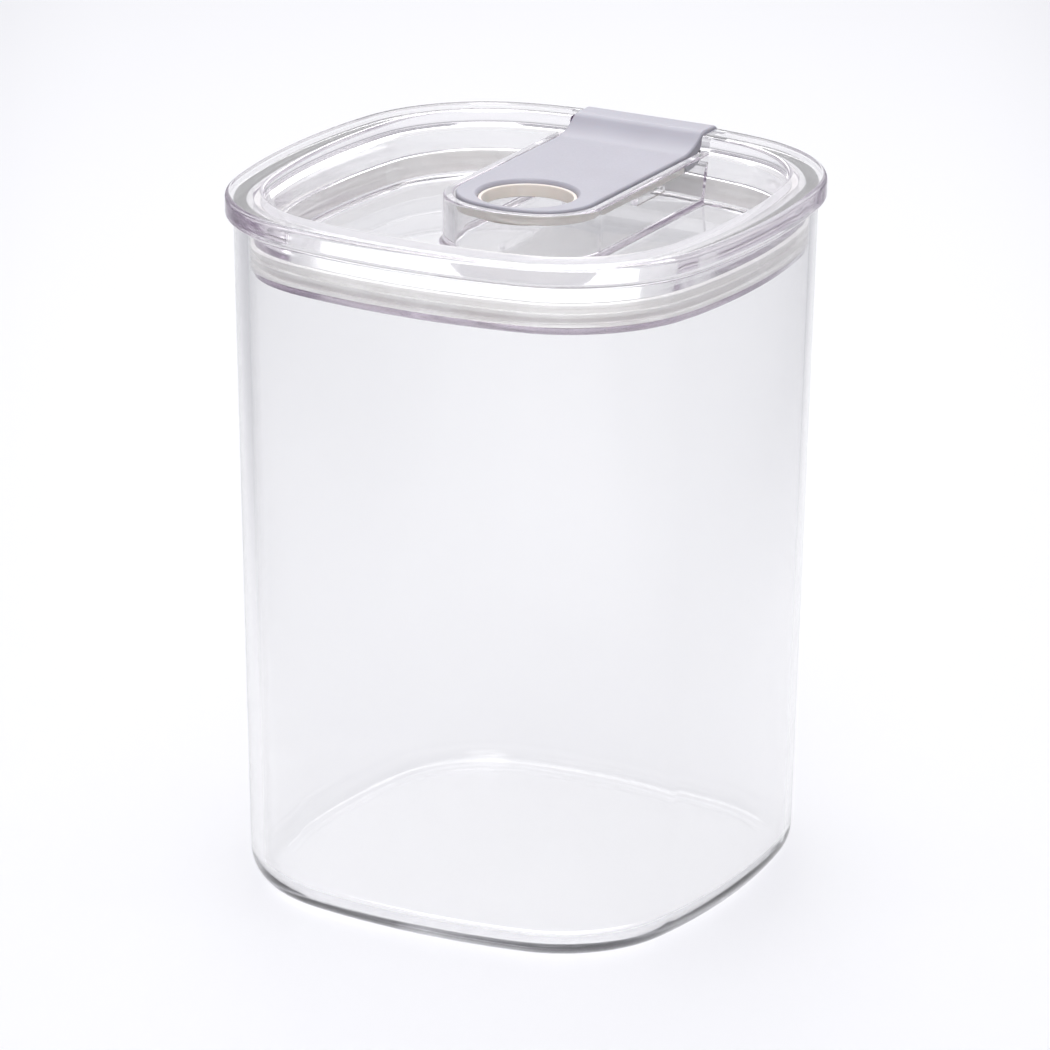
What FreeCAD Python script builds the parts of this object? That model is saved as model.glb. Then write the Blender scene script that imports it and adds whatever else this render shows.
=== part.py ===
import FreeCAD
import Part
import Sketcher
import math
import os

# Driving dimensions of the storage jar, in millimetres.
SIZES = [
    ("lid_width", 112.0, "lid rim across the middles of two opposite sides"),
    ("side_radius", 143.0, "radius of the lid's gently bowed sides"),
    ("corner_radius", 34.5, "radius of the lid's corners"),
    ("jar_height", 144.0, "jar from the table to its top edge"),
    ("rim_overhang", 1.7, "how far the lid rim stands out past the jar"),
    ("foot_inset", 3.1, "how far the jar draws in at its foot"),
    ("jar_wall", 2.8, "wall of the jar"),
    ("base_thickness", 3.6, "floor of the jar"),
    ("base_round", 7.5, "rounding round the jar's foot"),
    ("cavity_round", 4.0, "rounding round the floor inside the jar"),
    ("lip_round", 0.7, "rounding of the jar's top edge"),
    ("rim_height", 4.7, "thickness of the lid's rim ring"),
    ("rim_width", 8.0, "width of the lid's rim ring"),
    ("rim_top_round", 1.1, "rounding of the rim's upper outer edge"),
    ("rim_under_round", 0.9, "rounding of the rim's lower outer edge"),
    ("recess_edge_round", 1.0, "rounding of the rim's inner edge"),
    ("plug_depth", 10.6, "plug below the underside of the rim"),
    ("plug_gap", 1.2, "space between the plug and the jar's wall"),
    ("tray_floor", 2.0, "thickness of the lid's recessed floor"),
    ("recess_taper", 2.4, "how far the recess draws in at its floor"),
    ("recess_floor_round", 1.5, "rounding round the recessed floor"),
    ("flange_height", 1.6, "plug flange below the seal"),
    ("groove_height", 4.8, "height of the seal groove"),
    ("groove_depth", 1.5, "depth of the seal groove"),
    ("seal_fit", 0.05, "play of the seal in its groove"),
    ("lip_height", 0.9, "thickness of a seal lip"),
    ("lip_gap", 0.32, "space between a seal lip and the jar's wall"),
    ("lip_count", 3, "number of seal lips"),
    ("lever_width", 30.2, "width of the lever"),
    ("lever_reach", 12.0, "lever tip in front of the lid's centre"),
    ("tip_radius", 24.0, "bow of the lever's front end"),
    ("shoulder_radius", 11.5, "radius of the lever's front corners"),
    ("plate_drop", 2.6, "lever plate below the top of the rim"),
    ("lever_depth", 3.0, "depth of the lever at its edge"),
    ("plate_thickness", 1.3, "lever plate in front of its thicker rear"),
    ("liner_inset", 0.15, "liner edge inside the lever's edge"),
    ("liner_gap", 0.1, "space between the liner and the lever's thicker rear"),
    ("liner_end", 38.0, "rear end of the liner behind the lid's centre"),
    ("lever_edge_round", 0.6, "rounding of the lever's upper edge"),
    ("hinge_rise", 0.7, "hinge barrel above the top of the rim"),
    ("hinge_inset", 2.6, "hinge line from the back of the rim"),
    ("barrel_diameter", 4.9, "hinge barrel"),
    ("swoop_radius", 12.0, "hollow curve where the lever rises to the hinge"),
    ("crest_radius", 4.0, "rounded crest in front of the hinge"),
    ("crest_inset", 6.4, "end of the crest from the back of the rim"),
    ("finger_bore", 18.8, "clear opening of the finger ring"),
    ("hole_round", 0.9, "rounding of the lever plate round its hole"),
    ("ring_wall", 0.8, "wall of the finger ring"),
    ("ring_lip", 0.7, "width of the finger ring's lower lip"),
    ("ring_lip_height", 0.6, "thickness of the finger ring's lower lip"),
    ("ring_lip_round", 0.25, "rounding of the finger ring's ends"),
    ("ring_fit", 0.05, "play of the finger ring in the lever"),
    ("well_gap", 0.4, "space round the lever in its well"),
    ("well_wall", 2.2, "wall of the lever's well"),
    ("well_drop", 0.4, "top of the well below the lever plate"),
    ("notch_gap", 0.4, "space beside the lever in the rim's notch"),
    ("notch_start", 14.0, "front of the notch from the back of the rim"),
    ("sill_gap", 0.5, "notch floor below the underside of the lever"),
    ("rest_width", 1.0, "ledge on which the lever lies"),
    ("rest_height", 1.4, "thickness of that ledge"),
    ("rest_length", 12.0, "length of that ledge"),
    ("rest_start", 16.0, "front of that ledge behind the lid's centre"),
    ("pin_diameter", 1.8, "hinge pin"),
    ("pin_fit", 0.05, "play of the hinge pin"),
    ("pin_hold", 2.4, "pin length held in each side of the rim"),
    ("pin_end_gap", 0.2, "space past each end of the pin"),
    ("pin_chamfer", 0.2, "chamfer of the pin's ends"),
]

# Places that follow from the driving dimensions.
PLACES = [
    ("side_centre", "Sizes.side_radius - Sizes.lid_width / 2"),
    ("rim_top", "Sizes.jar_height + Sizes.rim_height"),
    ("rim_inset", "0 * Sizes.lid_width"),
    ("jar_top_inset", "Sizes.rim_overhang"),
    ("jar_foot_inset", "Sizes.rim_overhang + Sizes.foot_inset"),
    ("mouth_inset", "Sizes.rim_overhang + Sizes.jar_wall"),
    ("cavity_foot_inset", "Sizes.rim_overhang + Sizes.jar_wall"
        " + Sizes.foot_inset * (1 - Sizes.base_thickness / Sizes.jar_height)"),
    ("plug_inset", "Sizes.rim_overhang + Sizes.jar_wall + Sizes.plug_gap"),
    ("plug_bottom", "Sizes.jar_height - Sizes.plug_depth"),
    ("tray_level", "Sizes.jar_height - Sizes.plug_depth + Sizes.tray_floor"),
    ("recess_inset", "Sizes.rim_width"),
    ("tray_inset", "Sizes.rim_width + Sizes.recess_taper"),
    ("groove_bottom", "Sizes.jar_height - Sizes.plug_depth + Sizes.flange_height"),
    ("groove_top", "Sizes.jar_height - Sizes.plug_depth + Sizes.flange_height + Sizes.groove_height"),
    ("groove_outer_inset", "Sizes.rim_overhang"),
    ("groove_inset", "Sizes.rim_overhang + Sizes.jar_wall + Sizes.plug_gap + Sizes.groove_depth"),
    ("seal_inner_inset", "Sizes.rim_overhang + Sizes.jar_wall + Sizes.plug_gap + Sizes.groove_depth"
        " - Sizes.seal_fit"),
    ("seal_bottom", "Sizes.jar_height - Sizes.plug_depth + Sizes.flange_height + Sizes.seal_fit"),
    ("seal_height", "Sizes.groove_height - 2 * Sizes.seal_fit"),
    ("lip_inset", "Sizes.rim_overhang + Sizes.jar_wall + Sizes.lip_gap"
        " + Sizes.foot_inset * Sizes.plug_depth / Sizes.jar_height"),
    ("lip_travel", "Sizes.groove_height - 2 * Sizes.seal_fit - Sizes.lip_height"),
    ("plate_top", "Sizes.jar_height + Sizes.rim_height - Sizes.plate_drop"),
    ("lever_under", "Sizes.jar_height + Sizes.rim_height - Sizes.plate_drop - Sizes.lever_depth"),
    ("liner_depth", "Sizes.lever_depth - Sizes.plate_thickness"),
    ("hinge_y", "Sizes.lid_width / 2 - Sizes.hinge_inset"),
    ("barrel_radius", "Sizes.barrel_diameter / 2"),
    ("hinge_z", "Sizes.jar_height + Sizes.rim_height + Sizes.hinge_rise - Sizes.barrel_diameter / 2"),
    ("barrel_top", "Sizes.jar_height + Sizes.rim_height + Sizes.hinge_rise"),
    ("crest_y", "Sizes.lid_width / 2 - Sizes.crest_inset"),
    ("tip_centre", "Sizes.tip_radius - Sizes.lever_reach"),
    ("plan_offset", "0 * Sizes.lever_width"),
    ("liner_offset", "-Sizes.liner_inset"),
    ("step_end", "Sizes.liner_end + Sizes.liner_gap"),
    ("well_inner_offset", "Sizes.well_gap"),
    ("well_outer_offset", "Sizes.well_gap + Sizes.well_wall"),
    ("well_height", "Sizes.plug_depth + Sizes.rim_height - Sizes.tray_floor - Sizes.plate_drop"
        " - Sizes.well_drop"),
    ("well_top", "Sizes.jar_height + Sizes.rim_height - Sizes.plate_drop - Sizes.well_drop"),
    ("well_end", "Sizes.lid_width / 2 - Sizes.rim_width - Sizes.recess_taper"),
    ("wall_middle", "Sizes.lid_width / 2 - Sizes.rim_width"),
    ("lever_end", "Sizes.lid_width / 2"),
    ("notch_front", "Sizes.lid_width / 2 - Sizes.notch_start"),
    ("notch_back", "Sizes.lid_width / 2 + Sizes.rim_overhang"),
    ("notch_half", "Sizes.lever_width / 2 + Sizes.notch_gap"),
    ("notch_depth", "Sizes.plate_drop + Sizes.lever_depth + Sizes.sill_gap"),
    ("rest_inner", "Sizes.lever_width / 2 - Sizes.rest_width"),
    ("rest_outer", "Sizes.lever_width / 2 + Sizes.well_gap + Sizes.well_wall / 2"),
    ("rest_end", "Sizes.rest_start + Sizes.rest_length"),
    ("pin_radius", "Sizes.pin_diameter / 2"),
    ("bore_radius", "Sizes.pin_diameter / 2 + Sizes.pin_fit"),
    ("bore_length", "Sizes.lever_width + 2 * Sizes.notch_gap + 2 * Sizes.pin_hold"),
    ("pin_length", "Sizes.lever_width + 2 * Sizes.notch_gap + 2 * Sizes.pin_hold - 2 * Sizes.pin_end_gap"),
    ("ring_bore_radius", "Sizes.finger_bore / 2"),
    ("ring_radius", "Sizes.finger_bore / 2 + Sizes.ring_wall"),
    ("ring_lip_radius", "Sizes.finger_bore / 2 + Sizes.ring_wall + Sizes.ring_lip"),
    ("hole_radius", "Sizes.finger_bore / 2 + Sizes.ring_wall + Sizes.ring_fit"),
    ("ring_bottom", "Sizes.jar_height + Sizes.rim_height - Sizes.plate_drop - Sizes.lever_depth"
        " - Sizes.ring_lip_height"),
    ("ring_top", "Sizes.jar_height + Sizes.rim_height - Sizes.plate_drop - Sizes.hole_round"),
]

doc = FreeCAD.newDocument("StorageJar")
sizes_sheet = doc.addObject("Spreadsheet::Sheet", "Sizes")
for row, (alias, number, meaning) in enumerate(SIZES, start=1):
    sizes_sheet.set(f"A{row}", meaning)
    sizes_sheet.set(f"B{row}", str(number))
    sizes_sheet.setAlias(f"B{row}", alias)
doc.recompute()
places_sheet = doc.addObject("Spreadsheet::Sheet", "Places")
for row, (alias, formula) in enumerate(PLACES, start=1):
    places_sheet.set(f"A{row}", alias.replace("_", " "))
    places_sheet.set(f"B{row}", "=" + formula)
    places_sheet.setAlias(f"B{row}", alias)
doc.recompute()


def value(cell):
    """Present number in a cell that is named as Sheet.alias."""
    sheet_name, alias = cell.split(".")
    return float(doc.getObject(sheet_name).get(alias))


def new_body(label):
    body = doc.addObject("PartDesign::Body", label)
    body.Label = label
    return body


def origin_item(body, role):
    for item in body.Origin.OriginFeatures:
        if item.Role == role:
            return item
    raise RuntimeError(f"{body.Label} has no {role}")


def new_sketch(body, name, role="XY_Plane", level=None):
    """Sketch on one of the body's own planes, raised to a level where one is given."""
    sketch = body.newObject("Sketcher::SketchObject", name)
    sketch.AttachmentSupport = (origin_item(body, role), [""])
    sketch.MapMode = "FlatFace"
    if level:
        sketch.setExpression("AttachmentOffset.Base.z", level)
    return sketch


def drive(sketch, kind, where, cell):
    """Dimension on sketch geometry that follows a cell."""
    index = sketch.addConstraint(Sketcher.Constraint(kind, *where, value(cell)))
    sketch.setExpression(f"Constraints[{index}]", cell)


def place_point(sketch, element, corner, x_cell, y_cell):
    """Point held at distances from the sketch origin; a leading minus turns the side."""
    for kind, cell in (("DistanceX", x_cell), ("DistanceY", y_cell)):
        if cell is None:
            continue
        if cell.startswith("-"):
            drive(sketch, kind, (element, corner, -1, 1), cell[1:])
        else:
            drive(sketch, kind, (-1, 1, element, corner), cell)


def arc(centre, radius, start, end):
    circle = Part.Circle(FreeCAD.Vector(centre[0], centre[1], 0), FreeCAD.Vector(0, 0, 1), radius)
    return Part.ArcOfCircle(circle, start, end)


def line(start, end):
    return Part.LineSegment(FreeCAD.Vector(start[0], start[1], 0), FreeCAD.Vector(end[0], end[1], 0))


def add_rounded_square(sketch, inset_cell):
    """Outline of four bowed sides and four corners, a set distance inside the lid's edge."""
    inset = value(inset_cell)
    reach = value("Places.side_centre")
    spread = value("Sizes.side_radius") - value("Sizes.corner_radius")
    corner = (math.sqrt(2 * spread ** 2 - reach ** 2) - reach) / 2
    lean = math.atan2(corner, corner + reach)
    first = sketch.GeometryCount
    for quarter in range(4):
        turn = quarter * math.pi / 2
        side_centre = (-reach * math.cos(turn), -reach * math.sin(turn))
        corner_turn = turn + math.pi / 4
        corner_centre = (
            corner * math.sqrt(2) * math.cos(corner_turn),
            corner * math.sqrt(2) * math.sin(corner_turn),
        )
        sketch.addGeometry(arc(side_centre, value("Sizes.side_radius") - inset, turn - lean, turn + lean))
        sketch.addGeometry(
            arc(
                corner_centre,
                value("Sizes.corner_radius") - inset,
                turn + lean,
                turn + math.pi / 2 - lean,
            )
        )
    for step in range(8):
        following = first + (step + 1) % 8
        sketch.addConstraint(Sketcher.Constraint("Tangent", first + step, 2, following, 1))
    sketch.addConstraint(Sketcher.Constraint("PointOnObject", first, 3, -1))
    sketch.addConstraint(Sketcher.Constraint("PointOnObject", first + 2, 3, -2))
    sketch.addConstraint(Sketcher.Constraint("PointOnObject", first + 4, 3, -1))
    sketch.addConstraint(Sketcher.Constraint("PointOnObject", first + 6, 3, -2))
    place_point(sketch, first, 3, "-Places.side_centre", None)
    place_point(sketch, first + 2, 3, None, "-Places.side_centre")
    place_point(sketch, first + 4, 3, "Places.side_centre", None)
    place_point(sketch, first + 6, 3, None, "Places.side_centre")
    for offset, radius_cell in ((0, "Sizes.side_radius"), (1, "Sizes.corner_radius")):
        for step in (2, 4, 6):
            sketch.addConstraint(Sketcher.Constraint("Equal", first + offset, first + offset + step))
        radius = Sketcher.Constraint("Radius", first + offset, value(radius_cell) - inset)
        index = sketch.addConstraint(radius)
        sketch.setExpression(f"Constraints[{index}]", f"{radius_cell} - {inset_cell}")


def add_tongue(sketch, offset_cell, end_cell):
    """Lever outline from above, a set distance outside the lever's edge, squared off at the rear."""
    offset = value(offset_cell)
    half = value("Sizes.lever_width") / 2 + offset
    tip = value("Sizes.tip_radius") + offset
    shoulder = value("Sizes.shoulder_radius") + offset
    end = value(end_cell)
    tip_y = value("Places.tip_centre")
    shoulder_x = half - shoulder
    shoulder_y = tip_y - math.sqrt((tip - shoulder) ** 2 - shoulder_x ** 2)
    down = -math.pi / 2
    lean = math.atan2(shoulder_x, tip_y - shoulder_y)
    sketch.addGeometry(arc((0, tip_y), tip, down - lean, down + lean))
    sketch.addGeometry(arc((shoulder_x, shoulder_y), shoulder, down + lean, 0))
    sketch.addGeometry(line((half, shoulder_y), (half, end)))
    sketch.addGeometry(line((half, end), (-half, end)))
    sketch.addGeometry(line((-half, end), (-half, shoulder_y)))
    sketch.addGeometry(arc((-shoulder_x, shoulder_y), shoulder, -math.pi, down - lean))
    for first, second in ((0, 1), (1, 2), (4, 5), (5, 0)):
        sketch.addConstraint(Sketcher.Constraint("Tangent", first, 2, second, 1))
    for first, second in ((2, 3), (3, 4)):
        sketch.addConstraint(Sketcher.Constraint("Coincident", first, 2, second, 1))
    sketch.addConstraint(Sketcher.Constraint("Vertical", 2))
    sketch.addConstraint(Sketcher.Constraint("Vertical", 4))
    sketch.addConstraint(Sketcher.Constraint("Horizontal", 3))
    sketch.addConstraint(Sketcher.Constraint("PointOnObject", 0, 3, -2))
    place_point(sketch, 0, 3, None, "Places.tip_centre")
    sketch.addConstraint(Sketcher.Constraint("Equal", 1, 5))
    for element, radius_cell in ((0, "Sizes.tip_radius"), (1, "Sizes.shoulder_radius")):
        index = sketch.addConstraint(Sketcher.Constraint("Radius", element, value(radius_cell) + offset))
        sketch.setExpression(f"Constraints[{index}]", f"{radius_cell} + {offset_cell}")
    for places in ((-1, 1, 2, 1), (4, 1, -1, 1)):
        index = sketch.addConstraint(Sketcher.Constraint("DistanceX", *places, half))
        sketch.setExpression(f"Constraints[{index}]", f"Sizes.lever_width / 2 + {offset_cell}")
    place_point(sketch, 3, 1, None, end_cell)


def add_box(sketch, left, right, low, high):
    """Rectangle whose four sides follow cells; a leading minus turns the side."""
    number = {}
    for cell in (left, right, low, high):
        number[cell] = -value(cell[1:]) if cell.startswith("-") else value(cell)
    corners = [
        (number[left], number[low]),
        (number[right], number[low]),
        (number[right], number[high]),
        (number[left], number[high]),
    ]
    first = sketch.GeometryCount
    for step in range(4):
        sketch.addGeometry(line(corners[step], corners[(step + 1) % 4]))
    for step in range(4):
        following = first + (step + 1) % 4
        sketch.addConstraint(Sketcher.Constraint("Coincident", first + step, 2, following, 1))
        direction = "Horizontal" if step % 2 == 0 else "Vertical"
        sketch.addConstraint(Sketcher.Constraint(direction, first + step))
    place_point(sketch, first, 1, left, low)
    place_point(sketch, first + 2, 1, right, high)


def add_circle(sketch, radius_cell, x_cell=None, y_cell=None):
    """Circle at the sketch origin, or at a place that follows cells."""
    place = FreeCAD.Vector(value(x_cell) if x_cell else 0, value(y_cell) if y_cell else 0, 0)
    sketch.addGeometry(Part.Circle(place, FreeCAD.Vector(0, 0, 1), value(radius_cell)))
    if x_cell:
        place_point(sketch, 0, 3, x_cell, y_cell)
    else:
        sketch.addConstraint(Sketcher.Constraint("Coincident", 0, 3, -1, 1))
    drive(sketch, "Radius", (0,), radius_cell)


def add_feature(body, kind, name, sketch, length_cell=None, reversed_way=False, symmetric=False):
    feature = body.newObject(f"PartDesign::{kind}", name)
    feature.Profile = sketch
    if symmetric:
        feature.SideType = "Symmetric"
    if length_cell:
        feature.setExpression("Length", length_cell)
    else:
        feature.Type = "ThroughAll"
    feature.Reversed = reversed_way
    sketch.Visibility = False
    doc.recompute()
    return feature


def add_loft(body, kind, name, first_sketch, second_sketch):
    loft = body.newObject(f"PartDesign::{kind}", name)
    loft.Profile = first_sketch
    loft.Sections = [second_sketch]
    loft.Ruled = True
    doc.recompute()
    return loft


def edges_where(shape, wanted):
    """Names of the edges whose ends and middle all meet a condition."""
    names = []
    for index, edge in enumerate(shape.Edges, start=1):
        spots = [vertex.Point for vertex in edge.Vertexes]
        spots.append(edge.valueAt((edge.FirstParameter + edge.LastParameter) / 2))
        if all(wanted(spot) for spot in spots):
            names.append(f"Edge{index}")
    return names


def add_rounding(body, name, base, radius_cell, wanted, kind="Fillet"):
    names = edges_where(base.Shape, wanted)
    if not names:
        raise RuntimeError(f"{name} finds no edge")
    rounding = body.newObject(f"PartDesign::{kind}", name)
    rounding.Base = (base, names)
    rounding.setExpression("Radius" if kind == "Fillet" else "Size", radius_cell)
    doc.recompute()
    return rounding


NEAR = 0.01


def at_level(cell):
    level = value(cell)
    return lambda spot: abs(spot.z - level) < NEAR


# Jar: a drafted rounded square with an even wall and a rounded foot.
jar = new_body("jar_body")
foot_outline = new_sketch(jar, "JarFoot")
add_rounded_square(foot_outline, "Places.jar_foot_inset")
top_outline = new_sketch(jar, "JarTop", level="Sizes.jar_height")
add_rounded_square(top_outline, "Places.jar_top_inset")
jar_block = add_loft(jar, "AdditiveLoft", "JarBlock", foot_outline, top_outline)
cavity_foot = new_sketch(jar, "CavityFoot", level="Sizes.base_thickness")
add_rounded_square(cavity_foot, "Places.cavity_foot_inset")
cavity_top = new_sketch(jar, "CavityTop", level="Sizes.jar_height")
add_rounded_square(cavity_top, "Places.mouth_inset")
jar_hollow = add_loft(jar, "SubtractiveLoft", "JarCavity", cavity_foot, cavity_top)
jar_foot = add_rounding(jar, "FootRound", jar_hollow, "Sizes.base_round",
                        lambda spot: abs(spot.z) < NEAR)
jar_floor = add_rounding(jar, "FloorRound", jar_foot, "Sizes.cavity_round",
                         at_level("Sizes.base_thickness"))
add_rounding(jar, "LipRound", jar_floor, "Sizes.lip_round", at_level("Sizes.jar_height"))

# Lid: rim ring, plug with a seal groove, recessed tray, lever well, notch and pin sockets.
lid = new_body("lid_shell")
rim_outline = new_sketch(lid, "RimOutline", level="Sizes.jar_height")
add_rounded_square(rim_outline, "Places.rim_inset")
rim = add_feature(lid, "Pad", "Rim", rim_outline, "Sizes.rim_height")
rim_under = add_rounding(lid, "RimUnderRound", rim, "Sizes.rim_under_round", at_level("Sizes.jar_height"))
rim_over = add_rounding(lid, "RimTopRound", rim_under, "Sizes.rim_top_round", at_level("Places.rim_top"))
plug_outline = new_sketch(lid, "PlugOutline", level="Places.plug_bottom")
add_rounded_square(plug_outline, "Places.plug_inset")
plug = add_feature(lid, "Pad", "Plug", plug_outline, "Sizes.plug_depth")
tray_outline = new_sketch(lid, "TrayOutline", level="Places.tray_level")
add_rounded_square(tray_outline, "Places.tray_inset")
recess_outline = new_sketch(lid, "RecessOutline", level="Places.rim_top")
add_rounded_square(recess_outline, "Places.recess_inset")
recess = add_loft(lid, "SubtractiveLoft", "Recess", tray_outline, recess_outline)
tray_round = add_rounding(lid, "TrayRound", recess, "Sizes.recess_floor_round", at_level("Places.tray_level"))
inner_edge = value("Sizes.lid_width") / 2 - value("Sizes.rim_width") / 2


def on_recess_edge(spot):
    if abs(spot.z - value("Places.rim_top")) > NEAR:
        return False
    return max(abs(spot.x), abs(spot.y)) < inner_edge


add_rounding(lid, "RecessEdgeRound", tray_round, "Sizes.recess_edge_round", on_recess_edge)
well_outline = new_sketch(lid, "WellOutline", level="Places.tray_level")
add_tongue(well_outline, "Places.well_outer_offset", "Places.wall_middle")
add_feature(lid, "Pad", "WellBlock", well_outline, "Places.well_height")
well_inside = new_sketch(lid, "WellInside", level="Places.well_top")
add_tongue(well_inside, "Places.well_inner_offset", "Places.well_end")
add_feature(lid, "Pocket", "Well", well_inside, "Places.well_height")
groove_outline = new_sketch(lid, "GrooveOutline", level="Places.groove_top")
add_rounded_square(groove_outline, "Places.groove_outer_inset")
add_rounded_square(groove_outline, "Places.groove_inset")
add_feature(lid, "Pocket", "SealGroove", groove_outline, "Sizes.groove_height")
notch_outline = new_sketch(lid, "NotchOutline", level="Places.rim_top")
add_box(notch_outline, "-Places.notch_half", "Places.notch_half", "Places.notch_front", "Places.notch_back")
add_feature(lid, "Pocket", "HingeNotch", notch_outline, "Places.notch_depth")
rest_outline = new_sketch(lid, "RestOutline", level="Places.lever_under")
add_box(rest_outline, "Places.rest_inner", "Places.rest_outer", "Sizes.rest_start", "Places.rest_end")
add_box(rest_outline, "-Places.rest_outer", "-Places.rest_inner", "Sizes.rest_start", "Places.rest_end")
add_feature(lid, "Pad", "LeverRests", rest_outline, "Sizes.rest_height", reversed_way=True)
socket_outline = new_sketch(lid, "SocketOutline", role="YZ_Plane")
add_circle(socket_outline, "Places.bore_radius", "Places.hinge_y", "Places.hinge_z")
add_feature(lid, "Pocket", "PinSockets", socket_outline, "Places.bore_length", symmetric=True)

# Seal: silicone band in the plug's groove with thin lips that reach for the jar's wall.
seal = new_body("seal_ring")
band_outline = new_sketch(seal, "BandOutline", level="Places.seal_bottom")
add_rounded_square(band_outline, "Places.plug_inset")
add_rounded_square(band_outline, "Places.seal_inner_inset")
add_feature(seal, "Pad", "Band", band_outline, "Places.seal_height")
lip_outline = new_sketch(seal, "LipOutline", level="Places.seal_bottom")
add_rounded_square(lip_outline, "Places.lip_inset")
add_rounded_square(lip_outline, "Places.seal_inner_inset")
lip = add_feature(seal, "Pad", "Lip", lip_outline, "Sizes.lip_height")
lips = seal.newObject("PartDesign::LinearPattern", "Lips")
lips.Originals = [lip]
lips.Direction = (origin_item(seal, "Z_Axis"), [""])
lips.setExpression("Length", "Places.lip_travel")
lips.setExpression("Occurrences", "Sizes.lip_count")
seal.Tip = lips
doc.recompute()


def add_lever_profile(sketch):
    """Lever from the side: flat plate, hollow rise, crest and hinge barrel, of even depth."""
    tip_y = -value("Sizes.lever_reach")
    top = value("Places.plate_top")
    under = value("Places.lever_under")
    depth = value("Sizes.lever_depth")
    hinge_y = value("Places.hinge_y")
    hinge_z = value("Places.hinge_z")
    barrel = value("Places.barrel_radius")
    crest_y = value("Places.crest_y")
    crest = value("Sizes.crest_radius")
    swoop = value("Sizes.swoop_radius")
    rise = hinge_z + barrel - top
    lean = math.acos(1 - rise / (crest + swoop))
    swoop_y = crest_y - (crest + swoop) * math.sin(lean)
    crest_z = top + rise
    low = crest_z - depth
    meet_y = hinge_y - math.sqrt(barrel ** 2 - (hinge_z - low) ** 2)
    meet_turn = math.atan2(low - hinge_z, meet_y - hinge_y) + 2 * math.pi
    down = 3 * math.pi / 2
    up = math.pi / 2
    sketch.addGeometry(line((tip_y, top), (swoop_y, top)))
    sketch.addGeometry(arc((swoop_y, top + swoop), swoop, down, down + lean))
    sketch.addGeometry(arc((crest_y, crest_z - crest), crest, up, up + lean))
    sketch.addGeometry(line((crest_y, crest_z), (hinge_y, crest_z)))
    sketch.addGeometry(arc((hinge_y, hinge_z), barrel, meet_turn, up + 2 * math.pi))
    sketch.addGeometry(line((meet_y, low), (crest_y, low)))
    sketch.addGeometry(arc((crest_y, low - crest), crest, up, up + lean))
    sketch.addGeometry(arc((swoop_y, under + swoop), swoop, down, down + lean))
    sketch.addGeometry(line((swoop_y, under), (tip_y, under)))
    sketch.addGeometry(line((tip_y, under), (tip_y, top)))
    tangents = ((0, 2, 1, 1), (1, 2, 2, 2), (2, 1, 3, 1), (3, 2, 4, 2), (5, 2, 6, 1), (6, 2, 7, 2), (7, 1, 8, 1))
    for places in tangents:
        sketch.addConstraint(Sketcher.Constraint("Tangent", *places))
    for places in ((4, 1, 5, 1), (8, 2, 9, 1), (9, 2, 0, 1)):
        sketch.addConstraint(Sketcher.Constraint("Coincident", *places))
    for element in (0, 3, 5, 8):
        sketch.addConstraint(Sketcher.Constraint("Horizontal", element))
    sketch.addConstraint(Sketcher.Constraint("Vertical", 9))
    sketch.addConstraint(Sketcher.Constraint("Equal", 1, 7))
    sketch.addConstraint(Sketcher.Constraint("Equal", 2, 6))
    sketch.addConstraint(Sketcher.Constraint("Vertical", 5, 2, 3, 1))
    drive(sketch, "Radius", (1,), "Sizes.swoop_radius")
    drive(sketch, "Radius", (2,), "Sizes.crest_radius")
    drive(sketch, "Radius", (4,), "Places.barrel_radius")
    place_point(sketch, 4, 3, "Places.hinge_y", "Places.hinge_z")
    place_point(sketch, 0, 1, "-Sizes.lever_reach", "Places.plate_top")
    place_point(sketch, 8, 1, None, "Places.lever_under")
    place_point(sketch, 3, 1, "Places.crest_y", None)
    drive(sketch, "DistanceY", (5, 2, 3, 1), "Sizes.lever_depth")


# Lever shell: thin plate with a finger hole, thicker where it rises to a barrel on the hinge pin.
lever = new_body("lever_shell")
side_profile = new_sketch(lever, "LeverSide", role="YZ_Plane")
add_lever_profile(side_profile)
add_feature(lever, "Pad", "LeverBar", side_profile, "Sizes.lever_width", symmetric=True)
lever_plan = new_sketch(lever, "LeverPlan", level="Places.barrel_top")
add_tongue(lever_plan, "Places.plan_offset", "Places.notch_back")
add_box(lever_plan, "-Sizes.lever_width", "Sizes.lever_width", "-Sizes.lever_width", "Sizes.lid_width")
trimmed = add_feature(lever, "Pocket", "LeverTrim", lever_plan)


def on_upper_edge(spot):
    return abs(spot.z - value("Places.plate_top")) < NEAR and spot.y < value("Places.crest_y")


edged = add_rounding(lever, "LeverEdgeRound", trimmed, "Sizes.lever_edge_round", on_upper_edge)
step_outline = new_sketch(lever, "StepOutline", level="Places.lever_under")
add_box(step_outline, "-Sizes.lever_width", "Sizes.lever_width", "-Sizes.lever_width", "Places.step_end")
add_feature(lever, "Pocket", "LinerStep", step_outline, "Places.liner_depth", reversed_way=True)
finger_hole = new_sketch(lever, "FingerHole", level="Places.barrel_top")
add_circle(finger_hole, "Places.hole_radius")
holed = add_feature(lever, "Pocket", "LeverHole", finger_hole)


def on_hole_edge(spot):
    if abs(spot.z - value("Places.plate_top")) > NEAR:
        return False
    return abs(math.hypot(spot.x, spot.y) - value("Places.hole_radius")) < NEAR


add_rounding(lever, "HoleEdgeRound", holed, "Sizes.hole_round", on_hole_edge)
barrel_bore = new_sketch(lever, "BarrelBore", role="YZ_Plane")
add_circle(barrel_bore, "Places.bore_radius", "Places.hinge_y", "Places.hinge_z")
add_feature(lever, "Pocket", "LeverBore", barrel_bore, "Places.bore_length", symmetric=True)

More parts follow.
